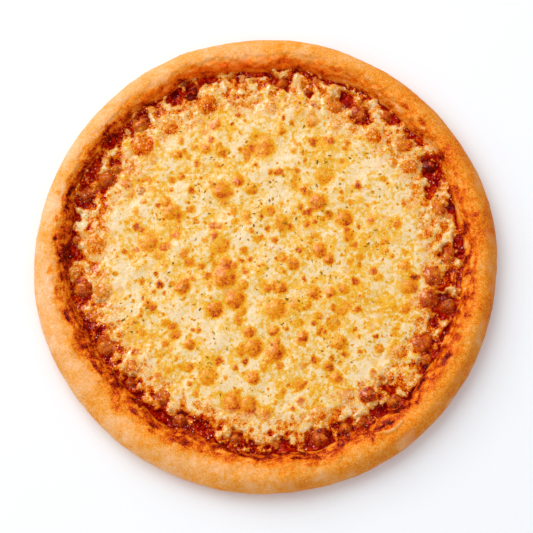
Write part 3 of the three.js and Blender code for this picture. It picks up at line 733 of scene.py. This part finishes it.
def cheese_browning(x, y, golden):
    """How browned each place of the cheese is, from 0 for cream to 1 for charred, with painted shade on the
    side of each blister away from the lamp; how high its bumps stand, whether it is on a blister or close
    around one, and how much painted highlight lies on it."""
    # Outlines of the spots are bent by noise, so that none is a plain circle
    bent_x = x + 0.8 * rough(x, y, size=4.5, seed=75, octaves=2)
    bent_y = y + 0.8 * rough(x, y, size=4.5, seed=76, octaves=2)
    cream = step(rough(x, y, size=11, seed=77), 0.3, 0.9)
    mottles = np.where(golden > 0, 0.4, 0.6) * golden + 0.35 * rough(x, y, size=9, seed=79)
    mottles = mottles + 0.65 * rough(x, y, size=2.6, seed=80, octaves=2) - 0.3 * cream
    toasted = TOASTED * (0.92 + 0.22 * step(np.hypot(x, y), 70, 100))
    browned = toasted * ranked(mottles) ** 1.45
    bumps, blistered, around, painted_highlight = np.zeros((4, len(x)))
    for cx, cy, radius, strength in random_spots(SPOTS, 81):
        near, far = near_spot(bent_x, bent_y, cx, cy, radius)
        pull_to(browned, near, strength, step(far, 1.5, 0.5) * (strength > browned[near]))
        raise_to(bumps, near, 0.09 * radius * dome(far / 1.3))
    for px, py, radius, strength, height in BLISTERS:
        cx, cy = from_picture(px, py, CHEESE_LEVEL)
        near, far = near_spot(bent_x, bent_y, cx, cy, radius)
        raise_to(browned, near, (0.42 + 0.12 * strength) * step(far, 1.7, 1.0))
        # Painted shade: the blister's top darker on its side away from the lamp
        side = away_from_lamp(x[near] - cx, y[near] - cy, radius)
        top = 0.46 + 0.26 * strength + 0.14 * side + 0.14 * rough(x[near], y[near], size=3, seed=87)
        inside = step(far + 0.15 * noise(x[near], y[near], size=3, seed=88), 1.15, 0.8)
        pull_to(browned, near, top, inside)
        raise_to(blistered, near, step(far, 1.3, 0.95))
        raise_to(around, near, step(far, 2.2, 1.3))
        raise_to(bumps, near, 0.85 * height * radius * dome(far / 1.1))
        # A painted highlight at the upper left of the wider blisters, towards the lamp
        raise_to(painted_highlight, near, painted_highlight_spot(x[near] - cx, y[near] - cy, radius) * step(radius, 2.4, 4))
    return browned, bumps, blistered, around, painted_highlight


def cheese_fat(x, y, golden):
    """How yellow with fat each place of the cheese is, from 0 to 1: in patches and in round spots."""
    fatty = 0.8 * step(rough(x, y, size=9, seed=83, octaves=4) + 0.35 * golden, 0.1, 0.9)
    for cx, cy, radius, _ in random_spots(FATTY_SPOTS, 93):
        near, far = near_spot(x, y, cx, cy, 1.5 * radius)
        uneven = 0.3 * noise(x[near], y[near], size=4, seed=94)
        raise_to(fatty, near, (0.8 + 0.2 * far) * step(far + uneven, 1.15, 0.75))
    return fatty


def closed_sheet(x, y, z, share, faces):
    """Places and faces of a ringed disc, closed by a wall at its edge and a flat bottom."""
    edge = np.flatnonzero(share > 1 - 0.5 / CHEESE_RINGS)
    below = len(x) + np.arange(len(edge))
    middle = len(x) + len(edge)
    after = np.roll(np.arange(len(edge)), -1)
    wall = np.stack([edge, below, below[after], edge[after]], 1)
    bottom = np.stack([np.full(len(edge), middle), below[after], below], 1)
    bottom_x, bottom_y = BOTTOM_SHARE * x[edge], BOTTOM_SHARE * y[edge]
    bottom_places = np.stack([bottom_x, bottom_y, np.full(len(edge), CHEESE_BOTTOM)], 1)
    places = np.concatenate([np.stack([x, y, z], 1), bottom_places, [[0, 0, CHEESE_BOTTOM]]])
    return places, faces.tolist() + wall.tolist() + bottom.tolist()


def build_cheese():
    share, angle, faces = ringed_disc(CHEESE_RINGS)
    reach = share * (sauce_edge(angle) + 0.4)
    x, y = reach * np.cos(angle), reach * np.sin(angle)
    distance = np.hypot(x, y)
    lumpy, golden = cheese_lumps(x, y), patches(x, y)
    depth, sauced = cheese_depth(x, y, lumpy, golden)
    browned, bumps, blistered, around, painted_highlight = cheese_browning(x, y, golden)
    domed = np.zeros(len(x))
    sauced *= 1 - 0.6 * around
    sauced += blistered * (0.88 * browned * step(distance, 96, 110) - sauced)
    for cx, cy, radius, _, near, far in domes(x, y):
        crumpled = 1 + 0.3 * rough(x[near], y[near], size=2.6, seed=95, octaves=2)
        raise_to(bumps, near, 0.3 * radius * dome(far) * crumpled)
        # A painted highlight at the upper left of each dome, towards the lamp
        raise_to(painted_highlight, near, painted_highlight_spot(x[near] - cx, y[near] - cy, radius))
        raise_to(domed, near, step(far, 1.2, 0.8))
    z = cheese_height(x, y, depth, lumpy) + bumps * step(depth, 1, 5)
    fields = {
        "browned": browned,
        "pinkish": step(rough(x, y, size=7, seed=82) + 0.8 * step(distance, 92, 108), 0.45, 1.2),
        "sauced": np.clip(sauced, 0, 1),
        "edge": step(distance, 96, 112),
        # The painted highlight on blisters and domes
        "painted_highlight": painted_highlight,
        "domed": domed,
        "fatty": cheese_fat(x, y, golden),
    }
    places, faces = closed_sheet(x, y, z, share, faces)
    fields = {key: np.pad(values, (0, len(places) - len(x))) for key, values in fields.items()}
    make_piece("cheese_sheet", places, faces, cheese_material(), ["cheese"], fields)

    def top_height(px, py):
        """The cheese's height at a few places: that of the nearest vertex."""
        return np.array([z[np.argmin((x - a) ** 2 + (y - b) ** 2)] for a, b in zip(px, py)])

    return top_height


# ---- Browned blobs ----
def ball(rows, around):
    """Unit ball as rows for loft(), from the bottom up."""
    tilt = np.linspace(-math.pi / 2, math.pi / 2, rows + 2)[1:-1][:, None]
    turn = np.linspace(0, math.tau, around, endpoint=False)[None, :]
    x, y, z = np.cos(tilt) * np.cos(turn), np.cos(tilt) * np.sin(turn), np.sin(tilt)
    return np.stack(np.broadcast_arrays(x, y, z), -1)


BLOB_ROWS, BLOB_AROUND = 20, 36  # points up a blob and round it
BLOB_EDGE_CLEARANCE = 1  # between a blob and the sauce's edge
# How browned each blob of the CAD's list is, from 0 for orange to 1 for charred
BLOB_TONES = [
    0.55, 0.1, 0.9, 0.4, 0.5, 0.15, 0.1, 0.7, 0.6, 0.4, 0.6, 0.35, 0.55,
    0.5, 0.6, 0.9, 0.75, 0.4, 0.75, 0.65, 0.65, 0.7, 0.9,
]


def build_blobs():
    material = blob_material()
    unit = ball(BLOB_ROWS, BLOB_AROUND)
    for number, (degrees, distance, radius) in enumerate(BLOBS):
        edge = float(sauce_edge(math.radians(degrees)))
        cx, cy = polar(degrees, min(distance, edge - 1.2 * radius - BLOB_EDGE_CLEARANCE))
        swell = 1 + 0.22 * rough(*np.moveaxis(unit, -1, 0), size=1.1, seed=90 + number)
        shape = unit * swell[..., None] * (radius, radius, radius * BLOB_HEIGHT_SHARE)
        base = float(sauce_height(np.array([cx]), np.array([cy]))[0])
        places, faces = loft(shape + (cx, cy, base + 0.3))
        browned = np.clip(BLOB_TONES[number] + 0.1 + 0.25 * rough(*places.T, size=4, seed=91), 0, 1)
        name, replaced = f"browned_blob_{number + 1:02d}", f"cheese_blob_{number + 1:02d}"
        make_piece(name, places, faces, material, [replaced], {"browned": browned})


# ---- Herbs ----
HERBS = 390
HERBS_SCATTERED = 0.45  # of them, apart from the clusters
HERB_DISC_RADIUS = 104
HERB_LENGTH = (1.1, 3.0)
# Rows of a scrap from point to point: how far along each is and how wide, as shares. Then a row's corners
SCRAP_ROWS = [(-1, 0.15), (-0.45, 0.8), (0.1, 1.0), (0.6, 0.65), (1, 0.1)]
SCRAP_CORNERS = [(1, 0), (0, 1), (-1, 0), (0, -1)]
SCRAP_THICKNESS, SCRAP_BEND, SCRAP_LIFT = 0.16, 0.12, 0.1
# Where the flecks lie thickest: x, y and how far they spread
HERB_CLUSTERS = [
    (-6, 31, 4), (-5, 26, 6), (18, 20, 5), (26, 14, 6), (5, 42, 8), (38, 42, 7), (-26, 42, 7),
    (-40, 34, 8), (-44, 52, 6), (38, 74, 6), (-33, 67, 5), (32, 33, 5), (72, 12, 5), (-37, -70, 5),
    (-74, -28, 4), (-88, -36, 5), (-14, 12, 9), (40, -53, 4), (50, -60, 6), (66, 58, 8), (-52, -20, 5),
    (14, -24, 9), (-2, -6, 8), (36, -8, 8),
]


def leaf_scrap(x, y, z, length, width, turn, tilt):
    """Rows for loft(): a thin bent lozenge that lies at a place on the cheese."""
    rows = []
    for a, w in SCRAP_ROWS:
        end, side, bend = a * length / 2, w * width / 2, SCRAP_BEND * a * a
        rows.append([(end, s * side, SCRAP_THICKNESS * u + bend) for s, u in SCRAP_CORNERS])
    along, across, up = np.moveaxis(np.array(rows), -1, 0)
    up = up + tilt * along
    return np.stack([
        x + along * math.cos(turn) - across * math.sin(turn),
        y + along * math.sin(turn) + across * math.cos(turn),
        z + SCRAP_LIFT + up,
    ], -1)


def build_herbs(cheese_top):
    rng = np.random.default_rng(7)
    middle_x, middle_y, spread = np.array(HERB_CLUSTERS)[rng.integers(0, len(HERB_CLUSTERS), HERBS)].T
    scattered = rng.random(HERBS) < HERBS_SCATTERED
    x, y = (
        np.where(scattered, rng.uniform(-100, 100, HERBS), middle + spread * rng.normal(size=HERBS))
        for middle in (middle_x, middle_y)
    )
    inside = np.hypot(x, y) < HERB_DISC_RADIUS
    x, y = x[inside], y[inside]
    z = cheese_top(x, y)
    low, high = HERB_LENGTH
    length = low + (high - low) * rng.random(len(x)) ** 2.2
    width = length * rng.uniform(0.3, 0.6, len(x))
    turn = rng.uniform(0, math.tau, len(x))
    tilt = rng.normal(0, 0.25, len(x))
    places, faces = [], []
    for fleck in zip(x, y, z, length, width, turn, tilt):
        scrap, scrap_faces = loft(leaf_scrap(*fleck))
        faces += [[corner + len(places) * len(scrap) for corner in face] for face in scrap_faces]
        places.append(scrap)
    make_piece("herb_flecks", np.concatenate(places), faces, herb_material(), [])


# ---- Materials ----
def colour(red, green, blue):
    """A colour as it shows on a screen, from 0 to 255 each, as the linear colour that a shader takes."""
    def linear(value):
        value /= 255
        return value / 12.92 if value <= 0.04045 else ((value + 0.055) / 1.055) ** 2.4

    return linear(red), linear(green), linear(blue), 1.0


class Shader:
    """A material with one Principled surface; each method adds a node and returns its output."""

    def __init__(self, name):
        self.material = bpy.data.materials.new(name)
        self.material.use_nodes = True
        self.tree = self.material.node_tree
        self.surface = self.tree.nodes["Principled BSDF"]
        self.place = self.tree.nodes.new("ShaderNodeTexCoord").outputs["Object"]

    def put(self, socket, value):
        if isinstance(value, bpy.types.NodeSocket):
            self.tree.links.new(value, socket)
        else:
            socket.default_value = value

    def node(self, kind, inputs, **settings):
        node = self.tree.nodes.new("ShaderNode" + kind)
        for name, value in settings.items():
            setattr(node, name, value)
        for socket, value in inputs.items():
            self.put(node.inputs[socket], value)
        return node

    def math(self, operation, first, second=0.0):
        return self.node("Math", {0: first, 1: second}, operation=operation).outputs[0]

    def field(self, name):
        return self.node("Attribute", {}, attribute_name=name).outputs["Fac"]

    def noise(self, size, detail=2.0, roughness=0.5):
        """Noise from 0 to 1, with features of about size millimetres."""
        inputs = {"Vector": self.place, "Scale": 1 / (size * MM), "Detail": detail, "Roughness": roughness}
        return self.node("TexNoise", inputs).outputs[0]

    def dots(self, spacing, radius, shift, share):
        """Dots at random places, about spacing apart, on that share of the cells; the widest have that
        radius."""
        moved = self.node("VectorMath", {0: self.place, 1: (shift, shift * 1.7, shift * 0.6)})
        inputs = {"Vector": moved.outputs["Vector"], "Scale": 1 / (spacing * MM)}
        cells = self.node("TexVoronoi", inputs).outputs
        chance = self.node("SeparateColor", {0: cells["Color"]}).outputs
        size = self.between(chance[1], 0.3 * radius / spacing, radius / spacing)
        inside = self.step(self.math("DIVIDE", cells["Distance"], size), 1.0, 0.4)
        return self.weighed(inside, self.math("LESS_THAN", chance[0], share))

    def ramp(self, value, stops):
        """The colour at a value from 0 to 1, between stops of a position and the colour's three parts."""
        node = self.node("ValToRGB", {"Fac": value})
        elements = node.color_ramp.elements
        while len(elements) < len(stops):
            elements.new(0.5)
        for element, (position, *parts) in zip(elements, stops):
            element.position = position
            element.color = colour(*parts)
        return node.outputs["Color"]

    def varied(self, name, *noises, weight=1.0):
        """A field with noises added to it, each with how far it moves the field either way where the weight
        is 1."""
        total = 0.0
        for source, far in noises:
            total = self.math("ADD", total, self.between(source, -far, far))
        return self.math("ADD", self.field(name), self.weighed(total, weight))

    def weighed(self, value, weight):
        return self.math("MULTIPLY", value, weight)

    def step(self, value, low, high):
        inputs = {"Value": value, "From Min": low, "From Max": high}
        return self.node("MapRange", inputs, interpolation_type="SMOOTHSTEP").outputs["Result"]

    def between(self, value, low, high):
        """A value from 0 to 1 stretched to run from low to high."""
        return self.node("MapRange", {"Value": value, "To Min": low, "To Max": high}).outputs["Result"]

    def mix(self, first, second, share):
        # The node's colour sockets are the seventh and the eighth of its inputs
        return self.node("Mix", {0: share, 6: first, 7: second}, data_type="RGBA").outputs[2]

    def bump(self, height, distance, under=None):
        inputs = {"Distance": distance * MM, "Height": height}
        if under:
            inputs["Normal"] = under
        return self.node("Bump", inputs).outputs["Normal"]

    def finish(self, colour, roughness, normal=None, **constants):
        self.put(self.surface.inputs["Base Color"], colour)
        self.put(self.surface.inputs["Roughness"], roughness)
        if normal:
            self.put(self.surface.inputs["Normal"], normal)
        for name, value in constants.items():
            self.surface.inputs[name.replace("_", " ")].default_value = value
        return self.material


# The dough's colours from pale to golden, orange, red and black, for its tone with painted light and shade
DOUGH = [
    (0.0, 249, 216, 180), (0.14, 247, 197, 150), (0.28, 245, 179, 114), (0.4, 242, 161, 62),
    (0.5, 240, 143, 24), (0.6, 232, 119, 4), (0.7, 217, 90, 2), (0.8, 190, 56, 2), (0.9, 142, 16, 0),
    (1.0, 70, 4, 0),
]
# Red-orange for the slope's sauce stain and for painted light on its shaded top
RUDDY_AND_PAINTED_LIGHT = colour(250, 98, 0)
# Brown for the rim's tan and for painted shade on its outer right side
TANNED_AND_PAINTED_SHADE = colour(170, 92, 30)
FLOUR = colour(240, 208, 170)


def crust_material():
    s = Shader("baked_crust")
    grain, fine, coarse = s.noise(0.8, 2), s.noise(1.9, 3), s.noise(7, 4, 0.6)
    on_slope = s.step(s.field("baked_and_painted_light"), 0.36, 0.6)
    texture = s.math("ADD", s.between(grain, -0.34, 0.34), s.between(fine, -0.2, 0.2))
    texture = s.weighed(texture, s.between(on_slope, 0.85, 1.1))
    # The dough's tone, with its painted light and shade
    baked_and_painted_light = s.math("ADD", s.varied("baked_and_painted_light", (coarse, 0.2)), texture)
    specks = s.weighed(s.dots(3.4, 0.8, 0.1, 0.4), s.between(on_slope, 0.06, 0.24))
    shade = s.ramp(s.math("ADD", baked_and_painted_light, specks), DOUGH)
    # Red-orange stain and painted light on the slope, kept off its darkest places
    shade = s.mix(shade, RUDDY_AND_PAINTED_LIGHT, s.weighed(s.field("ruddy_and_painted_light"), s.step(baked_and_painted_light, 0.95, 0.7)))
    # Brown tan and painted shade on the rim's outer right side
    shade = s.mix(shade, TANNED_AND_PAINTED_SHADE, s.weighed(s.field("tanned_and_painted_shade"), 0.36))
    dusted = s.step(s.varied("floured", (grain, 1.2), (fine, 0.5)), 0.7, 1.3)
    shade = s.mix(shade, FLOUR, s.weighed(dusted, 0.4))
    normal = s.bump(s.noise(3.4, 3), 0.25, s.bump(fine, 0.14, s.bump(grain, 0.06)))
    return s.finish(shade, s.between(on_slope, 0.7, 0.55), normal, Specular_IOR_Level=0.08)


SAUCE = [
    (0.0, 104, 0, 0), (0.3, 148, 2, 0), (0.6, 190, 34, 0), (1.0, 234, 108, 0),
]
BURNT_SAUCE = colour(84, 0, 0)


def sauce_material():
    s = Shader("tomato_sauce")
    pulp, patch = s.noise(1.8, 3, 0.6), s.noise(6, 3)
    mixed = s.math("ADD", s.weighed(patch, 0.45), s.weighed(pulp, 0.55))
    shade = s.ramp(s.between(mixed, -1.4, 2.2), SAUCE)
    burnt = s.step(s.varied("burnt", (patch, 0.4), (pulp, 0.3)), 0.3, 1.0)
    shade = s.mix(shade, BURNT_SAUCE, s.weighed(burnt, 0.85))
    # Painted glints on the sauce
    shade = s.mix(shade, PAINTED_GLINT, s.weighed(s.dots(1.9, 0.6, 0.23, 0.45), 0.65))
    normal = s.bump(pulp, 0.4, s.bump(s.noise(0.9, 2), 0.1))
    return s.finish(shade, s.between(s.noise(2.5, 2), 0.05, 0.15), normal, Specular_IOR_Level=0.15)


# How browned the cheese is: cream, yellow, golden, orange, brown and charred
BROWNING = [
    (0.0, 244, 217, 174), (0.12, 241, 206, 138), (0.26, 239, 190, 86), (0.4, 238, 172, 28),
    (0.52, 236, 152, 0), (0.64, 231, 132, 0), (0.76, 219, 102, 0), (0.88, 191, 64, 0), (1.0, 112, 30, 0),
]
PINKISH = colour(230, 176, 128)
# How much of the sauce shows on the cheese: cream, orange and deep red
SAUCED = [
    (0.0, 241, 203, 160), (0.14, 239, 186, 122), (0.28, 236, 164, 66), (0.4, 233, 143, 16),
    (0.52, 228, 120, 0), (0.64, 214, 88, 0), (0.76, 196, 50, 0), (0.88, 168, 6, 0), (1.0, 122, 0, 0),
]
# The yellow of fat, and the colour of the painted highlight on blisters and domes
FATTY, PAINTED_HIGHLIGHT = colour(243, 178, 10), colour(238, 180, 100)
# Pale dots painted as glints, small bright reflections on the wet sauce and cheese
PAINTED_GLINT = colour(246, 214, 184)
DOME_SKIN = colour(196, 106, 36)
# Dark brown specks, and pale specks painted as glints
DARK_SPECK, PAINTED_GLINT_SPECK = colour(150, 66, 0), colour(250, 236, 208)
BROWN_DOT, DARK_BROWN_DOT, RED_DOT = colour(219, 102, 0), colour(191, 64, 0), colour(168, 6, 0)


def cheese_material():
    s = Shader("melted_cheese")
    grain, fine, mottle = s.noise(0.9, 2), s.noise(1.5, 2), s.noise(3.2, 3, 0.6)
    # Browning, with painted shade on the blisters' sides away from the lamp
    browned = s.varied("browned", (fine, 0.28), (grain, 0.36), (mottle, 0.16))
    shade = s.ramp(browned, BROWNING)
    shade = s.mix(shade, BROWN_DOT, s.weighed(s.dots(4.2, 1.1, 0.31, 0.5), 0.55))
    fatty = s.step(s.varied("fatty", (mottle, 0.3), (fine, 0.3)), 0.3, 1.0)
    on_spot = s.step(s.field("browned"), 0.35, 0.55)
    shade = s.mix(shade, FATTY, s.weighed(fatty, s.between(on_spot, 0.62, 0.0)))
    pinkish = s.step(s.varied("pinkish", (mottle, 0.4)), 0.25, 1.0)
    shade = s.mix(shade, PINKISH, s.weighed(pinkish, s.between(on_spot, 0.38, 0.15)))
    calmer = s.between(s.field("domed"), 1.0, 0.75)
    sauced = s.varied("sauced", (fine, 0.4), (grain, 0.6), (mottle, 0.4), weight=calmer)
    shade = s.mix(shade, s.ramp(sauced, SAUCED), s.step(s.field("sauced"), 0.02, 0.3))
    shade = s.mix(shade, DOME_SKIN, s.weighed(s.field("domed"), s.step(fine, 0.35, 0.75)))
    # A pale painted highlight on the blisters and domes
    painted_highlight = s.step(s.varied("painted_highlight", (grain, 1.6), (fine, 1.0), (mottle, 0.6)), 0.85, 1.25)
    shade = s.mix(shade, PAINTED_HIGHLIGHT, s.weighed(painted_highlight, 0.16))
    shade = s.mix(shade, DARK_BROWN_DOT, s.weighed(s.dots(3.6, 0.7, 0.77, 0.35), 0.6))
    shade = s.mix(shade, DARK_SPECK, s.weighed(s.dots(3.0, 0.65, 0.53, 0.2), 0.7))
    # Pale specks all over the cheese, painted as glints
    shade = s.mix(shade, PAINTED_GLINT_SPECK, s.weighed(s.dots(2.6, 0.5, 0.92, 0.3), 0.7))
    edge = s.field("edge")
    shade = s.mix(shade, RED_DOT, s.weighed(s.dots(2.0, 0.8, 0.37, 0.4), s.weighed(edge, 0.4)))
    # Painted glints on the cheese's wet edge
    shade = s.mix(shade, PAINTED_GLINT, s.weighed(s.dots(1.9, 0.65, 0.21, 0.55), s.weighed(edge, 0.95)))
    even = s.between(edge, 1.0, 0.3)
    normal = s.bump(s.weighed(fine, even), 0.18, s.bump(s.weighed(grain, even), 0.1))
    normal = s.bump(mottle, 0.3, normal)
    return s.finish(shade, s.between(edge, 0.32, 0.15), normal, Specular_IOR_Level=0.2)


BROWNED_BLOB = [
    (0.0, 234, 158, 84), (0.3, 222, 120, 36), (0.6, 200, 78, 8), (0.85, 160, 32, 0), (1.0, 96, 8, 0),
]


def blob_material():
    s = Shader("browned_cheese")
    fine, mottle = s.noise(1.1, 2), s.noise(2.6, 3, 0.6)
    shade = s.ramp(s.varied("browned", (mottle, 0.5), (fine, 0.35)), BROWNED_BLOB)
    normal = s.bump(mottle, 0.6, s.bump(fine, 0.25))
    return s.finish(shade, s.between(mottle, 0.15, 0.3), normal, Specular_IOR_Level=0.15)


LIGHT_LEAF, DARK_LEAF = colour(216, 160, 30), colour(148, 90, 0)
FLOOR = colour(247, 250, 252)


def herb_material():
    s = Shader("dried_herbs")
    shade = s.mix(DARK_LEAF, LIGHT_LEAF, s.step(s.noise(2.5, 2), 0.35, 0.6))
    return s.finish(shade, 0.75, s.bump(s.noise(0.4, 1), 0.05), Specular_IOR_Level=0.1)


def floor_material():
    return Shader("pale_floor").finish(FLOOR, 0.9)


# ---- Floor, light and camera ----
FLOOR_SIZE = 6  # metres
# Lights: where both are, in metres, the width of each square and its power. The key is soft and leaves gloss
# to the second, smaller one, which makes the small bright glints
LAMP_PLACE = (-0.95, 1.0, 1.5)
KEY_SIZE, KEY_POWER = 2.0, 31
GLINT_SIZE, GLINT_POWER = 0.8, 48
SKY_STRENGTH = 0.66
SKY = (0.97, 0.97, 1.0, 1)


def add_floor():
    bpy.ops.mesh.primitive_plane_add(size=FLOOR_SIZE)
    floor = bpy.context.object
    floor.name = "floor"
    floor.data.materials.append(floor_material())


def add_lamp(name, size, power):
    light = bpy.data.lights.new(name, "AREA")
    light.size = size
    light.energy = power
    lamp = bpy.data.objects.new(name, light)
    lamp.location = LAMP_PLACE
    lamp.rotation_euler = (-Vector(LAMP_PLACE)).to_track_quat("-Z", "Y").to_euler()
    bpy.context.scene.collection.objects.link(lamp)
    return lamp


def add_light():
    world = bpy.data.worlds.new("studio")
    world.use_nodes = True
    background = world.node_tree.nodes["Background"]
    background.inputs["Color"].default_value = SKY
    background.inputs["Strength"].default_value = SKY_STRENGTH
    world.cycles_visibility.glossy = False  # so that dark sauce and crust stay deep in colour
    bpy.context.scene.world = world
    add_lamp("key", KEY_SIZE, KEY_POWER).visible_glossy = False
    add_lamp("glint", GLINT_SIZE, GLINT_POWER).visible_diffuse = False


def add_camera():
    away = Vector(camera_axes()[0])
    data = bpy.data.cameras.new("camera")
    data.lens = data.sensor_width * CAMERA_DISTANCE / SEEN_WIDTH
    camera = bpy.data.objects.new("camera", data)
    camera.location = (Vector(AIM) + CAMERA_DISTANCE * away) * MM
    camera.rotation_euler = (-away).to_track_quat("-Z", "Y").to_euler()
    bpy.context.scene.collection.objects.link(camera)
    bpy.context.scene.camera = camera


add_camera()
add_light()
add_floor()
build_crust()
build_sauce()
build_herbs(build_cheese())
build_blobs()
bpy.context.scene.view_settings.view_transform = "Standard"
